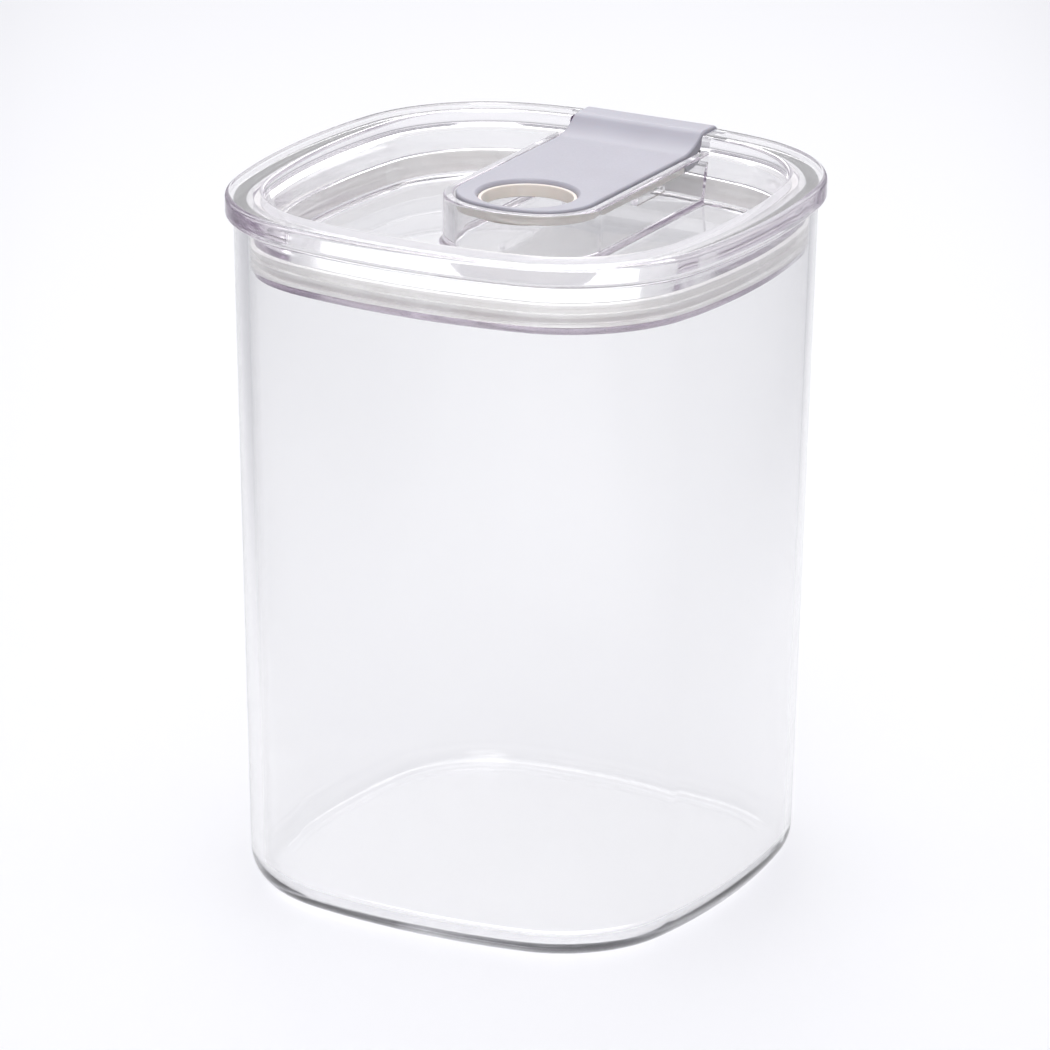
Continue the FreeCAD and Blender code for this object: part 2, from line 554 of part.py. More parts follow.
# Liner: plate under the lever's front, in the same outline, round the finger hole.
liner = new_body("lever_liner")
liner_outline = new_sketch(liner, "LinerOutline", level="Places.lever_under")
add_tongue(liner_outline, "Places.liner_offset", "Sizes.liner_end")
add_feature(liner, "Pad", "LinerPlate", liner_outline, "Places.liner_depth")
liner_hole = new_sketch(liner, "LinerHole", level="Places.plate_top")
add_circle(liner_hole, "Places.hole_radius")
add_feature(liner, "Pocket", "LinerOpening", liner_hole)

# Finger ring: sleeve through the lever plate and its liner, with a lip under the liner.
ring = new_body("finger_ring")
ring_section = new_sketch(ring, "RingSection", role="XZ_Plane")
ring_points = [
    ("Places.ring_bore_radius", "Places.ring_bottom"),
    ("Places.ring_lip_radius", "Places.ring_bottom"),
    ("Places.ring_lip_radius", "Places.lever_under"),
    ("Places.ring_radius", "Places.lever_under"),
    ("Places.ring_radius", "Places.ring_top"),
    ("Places.ring_bore_radius", "Places.ring_top"),
]
ring_spots = [(value(x_cell), value(y_cell)) for x_cell, y_cell in ring_points]
for step, spot in enumerate(ring_spots):
    ring_section.addGeometry(line(spot, ring_spots[(step + 1) % len(ring_spots)]))
for step, (x_cell, y_cell) in enumerate(ring_points):
    following = (step + 1) % len(ring_points)
    ring_section.addConstraint(Sketcher.Constraint("Coincident", step, 2, following, 1))
    place_point(ring_section, step, 1, x_cell, y_cell)
sleeve = ring.newObject("PartDesign::Revolution", "Sleeve")
sleeve.Profile = ring_section
sleeve.ReferenceAxis = (ring_section, ["V_Axis"])
sleeve.Angle = 360
doc.recompute()
end_levels = (value("Places.ring_bottom"), value("Places.ring_top"))
add_rounding(ring, "SleeveRound", sleeve, "Sizes.ring_lip_round",
             lambda spot: min(abs(spot.z - level) for level in end_levels) < NEAR)

# Hinge pin: plain steel rod across the notch, held in a socket at each end.
pin = new_body("hinge_pin")
pin_outline = new_sketch(pin, "PinOutline", role="YZ_Plane")
add_circle(pin_outline, "Places.pin_radius", "Places.hinge_y", "Places.hinge_z")
rod = add_feature(pin, "Pad", "Rod", pin_outline, "Places.pin_length", symmetric=True)
pin_end = value("Places.pin_length") / 2
add_rounding(pin, "RodEnds", rod, "Sizes.pin_chamfer",
             lambda spot: abs(abs(spot.x) - pin_end) < NEAR, kind="Chamfer")

doc.recompute()
for item in doc.Objects:
    if "Invalid" in item.State or "Error" in item.State:
        raise RuntimeError(f"{item.Label} is in state {item.State}")
os.makedirs("parts", exist_ok=True)
for body in (jar, lid, seal, lever, liner, ring, pin):
    shape = body.Shape
    if shape.isNull() or not shape.isValid() or len(shape.Solids) != 1:
        raise RuntimeError(f"{body.Label} is not one sound solid")
    body.Shape.exportStep(f"parts/{body.Label}.step")
    print(body.Label, round(shape.Volume, 1), shape.BoundBox)
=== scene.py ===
import math

import bmesh
import bpy
from mathutils import Matrix, Vector


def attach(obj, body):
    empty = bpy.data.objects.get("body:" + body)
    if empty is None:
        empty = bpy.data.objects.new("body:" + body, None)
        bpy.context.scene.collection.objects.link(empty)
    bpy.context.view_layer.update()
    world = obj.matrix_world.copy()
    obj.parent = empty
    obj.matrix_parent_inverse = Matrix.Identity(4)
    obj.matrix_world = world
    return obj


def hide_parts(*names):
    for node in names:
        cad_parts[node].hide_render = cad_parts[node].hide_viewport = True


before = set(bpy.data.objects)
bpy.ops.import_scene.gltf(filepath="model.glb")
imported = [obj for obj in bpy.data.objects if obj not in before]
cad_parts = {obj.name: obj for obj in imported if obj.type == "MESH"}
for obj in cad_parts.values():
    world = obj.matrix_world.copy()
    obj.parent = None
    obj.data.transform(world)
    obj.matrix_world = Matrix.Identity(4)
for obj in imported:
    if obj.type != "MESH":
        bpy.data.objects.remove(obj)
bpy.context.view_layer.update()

# Jar body: the container, one clear injection moulding in a food-safe copolyester.
# Its plan is a square with bowed sides and round corners, drawn in a little towards the foot.
# The wall is even, the foot is rounded, and the lid's rim sits on the top edge over a film of air.
MM = 0.001
LID_HALF = 56.0
SIDE_RADIUS = 143.0
CORNER_RADIUS = 34.5
SIDE_STEPS = 30
CORNER_STEPS = 30
JAR_HEIGHT = 144.0
RIM_OVERHANG = 1.7
FOOT_INSET = 3.1
JAR_WALL = 2.8
BASE_THICKNESS = 3.6
BASE_ROUND = 7.5
CAVITY_ROUND = 4.0
LIP_ROUND = 0.7
AIR_FILM = 0.03
FLAT_MARGIN = 7.0
SMOOTH_ANGLE = math.radians(35)
FLOW_SIZE = 45.0
FLOW_DEPTH = 0.4
MARK_SIZE = 6.0


def rounded_square():
    """Outline of the lid's edge as (centre, radius, direction) for each point, in order of angle."""
    reach = SIDE_RADIUS - LID_HALF
    spread = SIDE_RADIUS - CORNER_RADIUS
    corner = (math.sqrt(2 * spread ** 2 - reach ** 2) - reach) / 2
    lean = math.atan2(corner, corner + reach)
    outline = []
    for quarter in range(4):
        turn = quarter * math.pi / 2
        facing = Vector((math.cos(turn), math.sin(turn)))
        diagonal = Vector((math.cos(turn + math.pi / 4), math.sin(turn + math.pi / 4)))
        for step in range(SIDE_STEPS):
            angle = turn - lean + 2 * lean * step / SIDE_STEPS
            way = Vector((math.cos(angle), math.sin(angle)))
            outline.append((-reach * facing, SIDE_RADIUS, way))
        for step in range(CORNER_STEPS):
            angle = turn + lean + (math.pi / 2 - 2 * lean) * step / CORNER_STEPS
            way = Vector((math.cos(angle), math.sin(angle)))
            outline.append((corner * math.sqrt(2) * diagonal, CORNER_RADIUS, way))
    return outline


def round_corner(inset, height, radius, start, end, steps=6):
    """Profile points along an arc, its angles in degrees from the outward direction."""
    points = []
    for step in range(steps + 1):
        angle = math.radians(start + (end - start) * step / steps)
        points.append((inset - radius * math.cos(angle), height + radius * math.sin(angle)))
    return points


def angle_of(spot):
    """Angle of a point about the jar's axis, from 0 to a full turn."""
    return math.atan2(spot[1], spot[0]) % math.tau


def face_outwards():
    """Turns the faces of the mesh in edit mode outwards."""
    bpy.ops.mesh.select_all(action="SELECT")
    bpy.ops.mesh.normals_make_consistent(inside=False)


def moulded_skin(name, outline, profile, ring=False):
    """Closed skin through one ring of the outline for each profile point (inset, height)."""
    bpy.ops.object.select_all(action="DESELECT")
    bpy.ops.mesh.primitive_circle_add(
        vertices=len(outline), radius=LID_HALF * MM, fill_type="NOTHING" if ring else "NGON"
    )
    skin = bpy.context.object
    skin.name = skin.data.name = name
    bpy.ops.object.mode_set(mode="EDIT")
    bpy.ops.mesh.select_mode(type="EDGE")
    bpy.ops.mesh.select_all(action="SELECT")
    for number, (inset, height) in enumerate(profile):
        if number:
            bpy.ops.mesh.extrude_edges_move()
        spots = []
        for centre, radius, way in outline:
            flat = centre + (radius - inset) * way
            spots.append(Vector((flat.x * MM, flat.y * MM, height * MM)))
        spots.sort(key=angle_of)
        points = [vertex for vertex in bmesh.from_edit_mesh(skin.data).verts if vertex.select]
        points.sort(key=lambda vertex: angle_of(vertex.co))
        for vertex, spot in zip(points, spots):
            vertex.co = spot
        bmesh.update_edit_mesh(skin.data)
    if ring:
        bpy.ops.mesh.select_non_manifold()
        bpy.ops.mesh.bridge_edge_loops()
    else:
        bpy.ops.mesh.edge_face_add()
    face_outwards()
    bpy.ops.object.mode_set(mode="OBJECT")
    return skin


def smooth_flats(piece):
    """Smooth shading over the roundings that leaves the flat faces flat."""
    bpy.ops.object.select_all(action="DESELECT")
    bpy.context.view_layer.objects.active = piece
    piece.select_set(True)
    bpy.ops.object.shade_smooth_by_angle(angle=SMOOTH_ANGLE)
    flats = piece.modifiers.new("FlatFaces", "WEIGHTED_NORMAL")
    flats.keep_sharp = True
    bpy.ops.object.modifier_apply(modifier=flats.name)


def jar_inset(height):
    """How far the jar's outside lies within the lid's edge at a height."""
    return RIM_OVERHANG + FOOT_INSET * (1 - height / JAR_HEIGHT)


foot_centre = jar_inset(BASE_ROUND) + BASE_ROUND
floor_height = BASE_THICKNESS + CAVITY_ROUND
floor_centre = jar_inset(floor_height) + JAR_WALL + CAVITY_ROUND
lip_height = JAR_HEIGHT - AIR_FILM - LIP_ROUND
lip_outside = jar_inset(lip_height)
jar_profile = [(foot_centre + FLAT_MARGIN, 0.0)]
jar_profile += round_corner(foot_centre, BASE_ROUND, BASE_ROUND, -90, 0, steps=10)
jar_profile += round_corner(lip_outside + LIP_ROUND, lip_height, LIP_ROUND, 0, 90, steps=4)
jar_profile += round_corner(lip_outside + JAR_WALL - LIP_ROUND, lip_height, LIP_ROUND, 90, 180, steps=4)
jar_profile += round_corner(floor_centre, floor_height, CAVITY_ROUND, 0, -90, steps=8)
jar_profile += [(floor_centre + FLAT_MARGIN, BASE_THICKNESS)]
square_plan = rounded_square()
jar_body = moulded_skin("JarBody", square_plan, jar_profile)
smooth_flats(jar_body)


def linear(code):
    """Linear colour from an sRGB hex code."""
    colour = []
    for start in (0, 2, 4):
        channel = int(code[start:start + 2], 16) / 255
        colour.append(channel / 12.92 if channel <= 0.04045 else ((channel + 0.055) / 1.055) ** 2.4)
    return (*colour, 1.0)


def add_node(tree, kind, settings=None, links=None):
    """Node with values set on its sockets or properties, and links into its sockets."""
    node = tree.nodes.new(kind)
    for key, value in (settings or {}).items():
        if key in node.inputs:
            node.inputs[key].default_value = value
        else:
            setattr(node, key, value)
    for key, source in (links or {}).items():
        tree.links.new(source, node.inputs[key])
    return node


def new_material(name):
    """Material with an empty node tree and its output node."""
    material = bpy.data.materials.new(name)
    material.use_nodes = True
    tree = material.node_tree
    tree.nodes.clear()
    return material, tree, add_node(tree, "ShaderNodeOutputMaterial")


def clear_copolyester(name, tint, depth_tint, density):
    """Clear copolyester, injection moulded and left glossy: it bends light as glass does, shows a faint
    flow waviness and fine handling marks in its gloss, and greys where light runs along a wall."""
    material, tree, output = new_material(name)
    place = add_node(tree, "ShaderNodeTexCoord")
    flow = add_node(
        tree,
        "ShaderNodeTexNoise",
        {"Scale": 1 / (FLOW_SIZE * MM), "Detail": 1.0},
        {"Vector": place.outputs["Object"]},
    )
    marks = add_node(
        tree,
        "ShaderNodeTexNoise",
        {"Scale": 1 / (MARK_SIZE * MM), "Detail": 4.0},
        {"Vector": place.outputs["Object"]},
    )
    gloss = add_node(
        tree,
        "ShaderNodeMapRange",
        {"From Min": 0.4, "From Max": 0.75, "To Min": 0.015, "To Max": 0.06},
        {"Value": marks.outputs["Fac"]},
    )
    waves = add_node(
        tree,
        "ShaderNodeBump",
        {"Strength": 0.05, "Distance": FLOW_DEPTH * MM},
        {"Height": flow.outputs["Fac"]},
    )
    plastic = add_node(
        tree,
        "ShaderNodeBsdfPrincipled",
        {"Base Color": linear(tint), "IOR": 1.54, "Transmission Weight": 1.0},
        {"Roughness": gloss.outputs["Result"], "Normal": waves.outputs["Normal"]},
    )
    # Shadow rays go straight through, so that lamp light reaches the pieces and the floor behind the wall.
    through = add_node(tree, "ShaderNodeBsdfTransparent", {"Color": linear("f7f7f8")})
    rays = add_node(tree, "ShaderNodeLightPath")
    surface = add_node(tree, "ShaderNodeMixShader")
    tree.links.new(rays.outputs["Is Shadow Ray"], surface.inputs[0])
    tree.links.new(plastic.outputs["BSDF"], surface.inputs[1])
    tree.links.new(through.outputs["BSDF"], surface.inputs[2])
    depth = add_node(
        tree, "ShaderNodeVolumeAbsorption", {"Color": linear(depth_tint), "Density": density}
    )
    tree.links.new(surface.outputs["Shader"], output.inputs["Surface"])
    tree.links.new(depth.outputs["Volume"], output.inputs["Volume"])
    return material


jar_plastic = clear_copolyester("ClearCopolyesterJar", tint="fcfcfc", depth_tint="b9b9bc", density=16.0)
jar_body.data.materials.append(jar_plastic)
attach(jar_body, "jar")
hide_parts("jar_body")

# Lid shell: the clear lid, moulded in the same copolyester. A flat rim ring rests on the jar's edge,
# a plug with a seal groove enters the mouth, and a recessed tray lies inside the ring.
# A raised well with a rounded foot holds the lever, and a notch in the rim's back holds its hinge.
RIM_HEIGHT = 4.7
RIM_WIDTH = 8.0
RIM_TOP_ROUND = 1.1
RIM_UNDER_ROUND = 0.9
RECESS_EDGE_ROUND = 1.0
PLUG_DEPTH = 10.6
PLUG_GAP = 1.2
TRAY_FLOOR = 2.0
RECESS_TAPER = 2.4
TRAY_ROUND = 1.5
FLANGE_HEIGHT = 1.6
FLANGE_ROUND = 0.3
GROOVE_HEIGHT = 4.8
GROOVE_DEPTH = 1.5
LEVER_HALF = 15.1
LEVER_REACH = 12.0
TIP_RADIUS = 24.0
SHOULDER_RADIUS = 11.5
TIP_STEPS = 4
SHOULDER_STEPS = 18
PLATE_DROP = 2.6
LEVER_DEPTH = 3.0
WELL_GAP = 0.4
WELL_WALL = 2.2
WELL_DROP = 0.4
WELL_ROUND = 0.5
WELL_END = 46.5
WELL_MIDDLE = (30.0, 15.0)
WELL_FOOT = 1.0
FOOT_STEPS = 5
FOOT_SINK = 0.02
NOTCH_GAP = 0.4
NOTCH_HALF = LEVER_HALF + NOTCH_GAP
NOTCH_FRONT = 42.0
SILL_GAP = 0.5
REST_START = 16.0
REST_LENGTH = 12.0
REST_WIDTH = 1.0
REST_HEIGHT = 1.4
HINGE_INSET = 2.6
HINGE_RISE = 0.7
BARREL_RADIUS = 2.45
PIN_RADIUS = 0.9
PIN_FIT = 0.05
PIN_HOLD = 2.4
PIN_SIDES = 32
LEVEL_SLACK = 0.01
SHARP_ANGLE = math.radians(60)

rim_top = JAR_HEIGHT + RIM_HEIGHT
plate_top = rim_top - PLATE_DROP
lever_under = plate_top - LEVER_DEPTH
plug_bottom = JAR_HEIGHT - PLUG_DEPTH
tray_level = plug_bottom + TRAY_FLOOR
groove_bottom = plug_bottom + FLANGE_HEIGHT
groove_top = groove_bottom + GROOVE_HEIGHT
plug_inset = RIM_OVERHANG + JAR_WALL + PLUG_GAP
groove_inset = plug_inset + GROOVE_DEPTH
tray_inset = RIM_WIDTH + RECESS_TAPER
slope = math.degrees(math.atan2(RECESS_TAPER, rim_top - tray_level))
well_top = plate_top - WELL_DROP
hinge_y = LID_HALF - HINGE_INSET
hinge_z = rim_top + HINGE_RISE - BARREL_RADIUS

flange_centre = plug_inset + FLANGE_ROUND
edge_centre = RIM_WIDTH - RECESS_EDGE_ROUND
edge_height = rim_top - RECESS_EDGE_ROUND
lid_profile = [(plug_inset + FLAT_MARGIN, plug_bottom)]
lid_profile += round_corner(flange_centre, plug_bottom + FLANGE_ROUND, FLANGE_ROUND, -90, 0, steps=3)
lid_profile += round_corner(flange_centre, groove_bottom - FLANGE_ROUND, FLANGE_ROUND, 0, 90, steps=3)
lid_profile += [(groove_inset, groove_bottom), (groove_inset, groove_top)]
lid_profile += round_corner(flange_centre, groove_top + FLANGE_ROUND, FLANGE_ROUND, -90, 0, steps=3)
lid_profile += [(plug_inset, JAR_HEIGHT)]
lid_profile += round_corner(RIM_UNDER_ROUND, JAR_HEIGHT + RIM_UNDER_ROUND, RIM_UNDER_ROUND, -90, 0)
lid_profile += round_corner(RIM_TOP_ROUND, rim_top - RIM_TOP_ROUND, RIM_TOP_ROUND, 0, 90, steps=8)
lid_profile += round_corner(edge_centre, edge_height, RECESS_EDGE_ROUND, 90, 180 - slope)
lid_profile += round_corner(tray_inset + TRAY_ROUND, tray_level + TRAY_ROUND, TRAY_ROUND, -slope, -90)
lid_profile += [(tray_inset + TRAY_ROUND + FLAT_MARGIN, tray_level)]
lid_shell = moulded_skin("LidShell", square_plan, lid_profile)


def tongue_front():
    """Right half of the lever's front end as (centre, radius, direction), from the tip to the side."""
    tip_y = TIP_RADIUS - LEVER_REACH
    shoulder_x = LEVER_HALF - SHOULDER_RADIUS
    shoulder_y = tip_y - math.sqrt((TIP_RADIUS - SHOULDER_RADIUS) ** 2 - shoulder_x ** 2)
    lean = math.atan2(shoulder_x, tip_y - shoulder_y)
    front = []
    for step in range(1, TIP_STEPS + 1):
        angle = -math.pi / 2 + lean * step / TIP_STEPS
        front.append((Vector((0, tip_y)), TIP_RADIUS, Vector((math.cos(angle), math.sin(angle)))))
    for step in range(1, SHOULDER_STEPS + 1):
        angle = -math.pi / 2 + lean + (math.pi / 2 - lean) * step / SHOULDER_STEPS
        way = Vector((math.cos(angle), math.sin(angle)))
        front.append((Vector((shoulder_x, shoulder_y)), SHOULDER_RADIUS, way))
    return front


def new_strip(name, rows):
    """Flat strip of two columns and the given number of rows, in edit mode, its vertices row by row."""
    bpy.ops.object.select_all(action="DESELECT")
    bpy.ops.mesh.primitive_grid_add(x_subdivisions=1, y_subdivisions=rows - 1, size=1.0)
    strip = bpy.context.object
    strip.name = strip.data.name = name
    bpy.ops.object.mode_set(mode="EDIT")
    order = list(bmesh.from_edit_mesh(strip.data).verts)
    order.sort(key=lambda vertex: (round(vertex.co.y, 6), vertex.co.x))
    return strip, [(order[2 * row], order[2 * row + 1]) for row in range(rows)]


def combine(target, tool, operation):
    """Joins or cuts a tool piece with the target, then deletes the tool."""
    modifier = target.modifiers.new(operation.title(), "BOOLEAN")
    modifier.operation = operation
    modifier.object = tool
    modifier.solver = "EXACT"
    bpy.ops.object.select_all(action="DESELECT")
    bpy.context.view_layer.objects.active = target
    target.select_set(True)
    bpy.ops.object.modifier_apply(modifier=modifier.name)
    bpy.data.objects.remove(tool)


def new_block(name, low, high):
    """Box between two corners, given in millimetres."""
    bpy.ops.object.select_all(action="DESELECT")
    middle = [(a + b) / 2 * MM for a, b in zip(low, high)]
    bpy.ops.mesh.primitive_cube_add(size=1.0, location=middle)
    block = bpy.context.object
    block.name = name
    block.scale = [(b - a) * MM for a, b in zip(low, high)]
    bpy.ops.object.transform_apply(location=True, rotation=True, scale=True)
    return block


def new_rod(name, radius, length, centre, turn, sides):
    """Cylinder about a centre in millimetres, turned from the vertical, with its place in its mesh."""
    bpy.ops.object.select_all(action="DESELECT")
    bpy.ops.mesh.primitive_cylinder_add(
        vertices=sides,
        radius=radius * MM,
        depth=length * MM,
        location=[value * MM for value in centre],
        rotation=turn,
    )
    rod = bpy.context.object
    rod.name = rod.data.name = name
    bpy.ops.object.transform_apply(location=True, rotation=True, scale=True)
    return rod


front_half = tongue_front()
well_rows = []
for y in (WELL_END, *WELL_MIDDLE):
    well_rows.append((Vector((LEVER_HALF, y)), Vector((1, 0))))
for centre, radius, way in reversed(front_half):
    well_rows.append((centre + radius * way, way))
well_rows.append((Vector((0, -LEVER_REACH)), Vector((0, -1))))
for spot, way in reversed(well_rows[:-1]):
    well_rows.append((Vector((-spot.x, spot.y)), Vector((-way.x, way.y))))


def well_ring(spread):
    """Points of the well's inner and outer outline in turn, both walls thickened by a spread."""
    ring = []
    for spot, way in well_rows:
        ring.append(spot + (WELL_GAP - spread) * way)
        ring.append(spot + (WELL_GAP + WELL_WALL + spread) * way)
    return ring


def extrude_to(piece, now, then, height):
    """Extrudes the selected faces to a height, each corner going from its point to its next one."""
    bpy.ops.mesh.extrude_region_move()
    for vertex in bmesh.from_edit_mesh(piece.data).verts:
        if vertex.select:
            flat = vertex.co.xy / MM
            number = min(range(len(now)), key=lambda n: (now[n] - flat).length_squared)
            vertex.co = (*(then[number] * MM), height * MM)
    bmesh.update_edit_mesh(piece.data)


ring = well_ring(0.0)
well, pairs = new_strip("LeverWell", len(well_rows))
for (inner, outer), near, far in zip(pairs, ring[::2], ring[1::2]):
    inner.co = (*(near * MM), well_top * MM)
    outer.co = (*(far * MM), well_top * MM)
bmesh.update_edit_mesh(well.data)
bpy.ops.mesh.select_all(action="SELECT")
for step in range(FOOT_STEPS + 1):
    turn = math.pi / 2 * step / FOOT_STEPS
    flared = well_ring(WELL_FOOT * (1 - math.cos(turn)))
    extrude_to(well, ring, flared, tray_level - FOOT_SINK + WELL_FOOT * (1 - math.sin(turn)))
    ring = flared
extrude_to(well, ring, ring, tray_level - TRAY_FLOOR / 2)
face_outwards()
bpy.ops.mesh.select_mode(type="EDGE")
bpy.ops.mesh.select_all(action="DESELECT")
for edge in bmesh.from_edit_mesh(well.data).edges:
    on_top = all(abs(vertex.co.z / MM - well_top) < LEVEL_SLACK for vertex in edge.verts)
    if on_top and edge.calc_face_angle(0) > SHARP_ANGLE:
        edge.select_set(True)
bmesh.update_edit_mesh(well.data)
bpy.ops.mesh.bevel(offset=WELL_ROUND * MM, segments=4, affect="EDGES")
bpy.ops.object.mode_set(mode="OBJECT")
combine(lid_shell, well, "UNION")
rest_low = lever_under - REST_HEIGHT
for side in (-1, 1):
    ends = sorted((side * (LEVER_HALF - REST_WIDTH), side * (LEVER_HALF + WELL_GAP + WELL_WALL / 2)))
    rest = new_block(
        "LeverRest",
        (ends[0], REST_START, rest_low),
        (ends[1], REST_START + REST_LENGTH, lever_under - AIR_FILM),
    )
    combine(lid_shell, rest, "UNION")
notch = new_block(
    "HingeNotch",
    (-NOTCH_HALF, NOTCH_FRONT, lever_under - SILL_GAP),
    (NOTCH_HALF, LID_HALF + RIM_OVERHANG, rim_top + RIM_OVERHANG),
)
combine(lid_shell, notch, "DIFFERENCE")
along_x = (0, math.pi / 2, 0)
hinge_line = (0, hinge_y, hinge_z)
socket_length = 2 * (NOTCH_HALF + PIN_HOLD)
socket = new_rod("PinSocket", PIN_RADIUS + PIN_FIT, socket_length, hinge_line, along_x, PIN_SIDES)
combine(lid_shell, socket, "DIFFERENCE")
smooth_flats(lid_shell)
lid_plastic = clear_copolyester("ClearCopolyesterLid", tint="f8f8f8", depth_tint="cbb5d0", density=8.0)
lid_shell.data.materials.clear()
lid_shell.data.materials.append(lid_plastic)
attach(lid_shell, "lid")
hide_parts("lid_shell")

# Seal ring: a translucent silicone band stretched into the plug's groove.
# Thin lips round its outside reach for the jar's wall, and it is moulded in one closed ring.
SEAL_FIT = 0.05
LIP_HEIGHT = 0.9
LIP_COUNT = 3
LIP_GAP = 0.32
LIP_EDGE = 0.2
CLOUD_SIZE = 9.0

seal_bottom = groove_bottom + SEAL_FIT
seal_top = groove_top - SEAL_FIT
seal_inset = groove_inset - SEAL_FIT
lip_inset = RIM_OVERHANG + JAR_WALL + LIP_GAP + FOOT_INSET * PLUG_DEPTH / JAR_HEIGHT
lip_pitch = (seal_top - seal_bottom - LIP_HEIGHT) / (LIP_COUNT - 1)
seal_profile = [(seal_inset, seal_top), (seal_inset, seal_bottom)]
for number in range(LIP_COUNT):
    low = seal_bottom + number * lip_pitch
    high = low + LIP_HEIGHT
    if number:
        seal_profile.append((plug_inset, low))
    seal_profile += round_corner(lip_inset + LIP_EDGE, low + LIP_EDGE, LIP_EDGE, -90, 0, steps=3)
    seal_profile += round_corner(lip_inset + LIP_EDGE, high - LIP_EDGE, LIP_EDGE, 0, 90, steps=3)
    if number < LIP_COUNT - 1:
        seal_profile.append((plug_inset, high))
seal_ring = moulded_skin("SealRing", square_plan, seal_profile, ring=True)
smooth_flats(seal_ring)

# Moulded silicone: milky and half see-through, with a dull gloss that clouds a little along the band.
silicone, tree, output = new_material("TranslucentSilicone")
place = add_node(tree, "ShaderNodeTexCoord")
cloud = add_node(
    tree,
    "ShaderNodeTexNoise",
    {"Scale": 1 / (CLOUD_SIZE * MM), "Detail": 3.0},
    {"Vector": place.outputs["Object"]},
)
milk = add_node(tree, "ShaderNodeValToRGB", None, {"Fac": cloud.outputs["Fac"]})
milk.color_ramp.elements[0].position = 0.35
milk.color_ramp.elements[0].color = linear("f3f0ed")
milk.color_ramp.elements[1].position = 0.7
milk.color_ramp.elements[1].color = linear("fbfaf8")
dust = add_node(
    tree,
    "ShaderNodeMapRange",
    {"From Min": 0.35, "From Max": 0.7, "To Min": 0.2, "To Max": 0.3},
    {"Value": cloud.outputs["Fac"]},
)
rubber = add_node(
    tree,
    "ShaderNodeBsdfPrincipled",
    {"IOR": 1.41, "Alpha": 0.5},
    {"Base Color": milk.outputs["Color"], "Roughness": dust.outputs["Result"]},
)
tree.links.new(rubber.outputs["BSDF"], output.inputs["Surface"])
seal_ring.data.materials.append(silicone)
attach(seal_ring, "lid")
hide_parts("seal_ring")

# Hinge pin: a plain drawn steel rod with chamfered ends.
# It is pushed through the lever's barrel and held in a blind socket at each side of the notch.
PIN_END_GAP = 0.2
PIN_CHAMFER = 0.2
DRAW_LINE = 0.25
DRAW_STRETCH = 25.0

pin_length = 2 * (NOTCH_HALF + PIN_HOLD - PIN_END_GAP)
hinge_pin = new_rod("HingePin", PIN_RADIUS, pin_length, hinge_line, along_x, PIN_SIDES)
bpy.ops.object.mode_set(mode="EDIT")
bpy.ops.mesh.select_mode(type="EDGE")
bpy.ops.mesh.select_all(action="DESELECT")
bpy.ops.mesh.edges_select_sharp(sharpness=SHARP_ANGLE)
bpy.ops.mesh.bevel(offset=PIN_CHAMFER * MM, segments=2, affect="EDGES")
bpy.ops.object.mode_set(mode="OBJECT")
smooth_flats(hinge_pin)

# Drawn steel: fine lines along the rod, left by the die, that stretch its highlight.
steel, tree, output = new_material("DrawnSteel")
place = add_node(tree, "ShaderNodeTexCoord")
along = add_node(
    tree,
    "ShaderNodeMapping",
    {"Scale": (1 / DRAW_STRETCH, 1.0, 1.0)},
    {"Vector": place.outputs["Object"]},
)
draw_lines = add_node(
    tree,
    "ShaderNodeTexNoise",
    {"Scale": 1 / (DRAW_LINE * MM), "Detail": 2.0},
    {"Vector": along.outputs["Vector"]},
)
brushed = add_node(
    tree,
    "ShaderNodeMapRange",
    {"From Min": 0.3, "From Max": 0.7, "To Min": 0.22, "To Max": 0.4},
    {"Value": draw_lines.outputs["Fac"]},
)
metal = add_node(
    tree,
    "ShaderNodeBsdfPrincipled",
    {"Base Color": linear("c9cacd"), "Metallic": 1.0},
    {"Roughness": brushed.outputs["Result"]},
)
tree.links.new(metal.outputs["BSDF"], output.inputs["Surface"])
hinge_pin.data.materials.append(steel)
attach(hinge_pin, "lid")
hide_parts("hinge_pin")

# Lever shell: the pale lilac-grey flip lever, a thin plate moulded in satin ABS.
# A round finger hole with a soft edge goes through its front end, and its rear rises in an S
# over the lid's rim to a barrel that turns on the hinge pin.
PLATE_THICKNESS = 1.3
LINER_GAP = 0.1
LINER_END = 38.0
LEVER_EDGE = 0.5
SWOOP_RADIUS = 12.0
CREST_RADIUS = 4.0
CREST_INSET = 6.4
FINGER_RADIUS = 9.4
RING_WALL = 0.8
RING_FIT = 0.05
HOLE_ROUND = 0.9
HOLE_STEPS = 128
CUT_PAST = 0.03
SWOOP_STEPS = 10
CREST_STEPS = 8
MEET_STEPS = 12
BARREL_STEPS = 16
WELD_SLACK = 0.001
FLAT_ANGLE = math.radians(1)
DRIFT_SIZE = 18.0
GRAIN_DEPTH = 0.02
BLEED_DEPTH = 0.6

crest_y = LID_HALF - CREST_INSET
crest_z = hinge_z + BARREL_RADIUS
swoop_lean = math.acos(1 - (crest_z - plate_top) / (CREST_RADIUS + SWOOP_RADIUS))
swoop_y = crest_y - (CREST_RADIUS + SWOOP_RADIUS) * math.sin(swoop_lean)
lever_rows = []
for centre, radius, way in front_half:
    spot = centre + radius * way
    lever_rows.append((spot.x, spot.y, plate_top, lever_under))
for step in range(SWOOP_STEPS + 1):
    angle = swoop_lean * step / SWOOP_STEPS
    z = plate_top + SWOOP_RADIUS * (1 - math.cos(angle))
    lever_rows.append((LEVER_HALF, swoop_y + SWOOP_RADIUS * math.sin(angle), z, z - LEVER_DEPTH))
for step in range(1, CREST_STEPS + 1):
    angle = swoop_lean * (1 - step / CREST_STEPS)
    z = crest_z - CREST_RADIUS * (1 - math.cos(angle))
    lever_rows.append((LEVER_HALF, crest_y - CREST_RADIUS * math.sin(angle), z, z - LEVER_DEPTH))
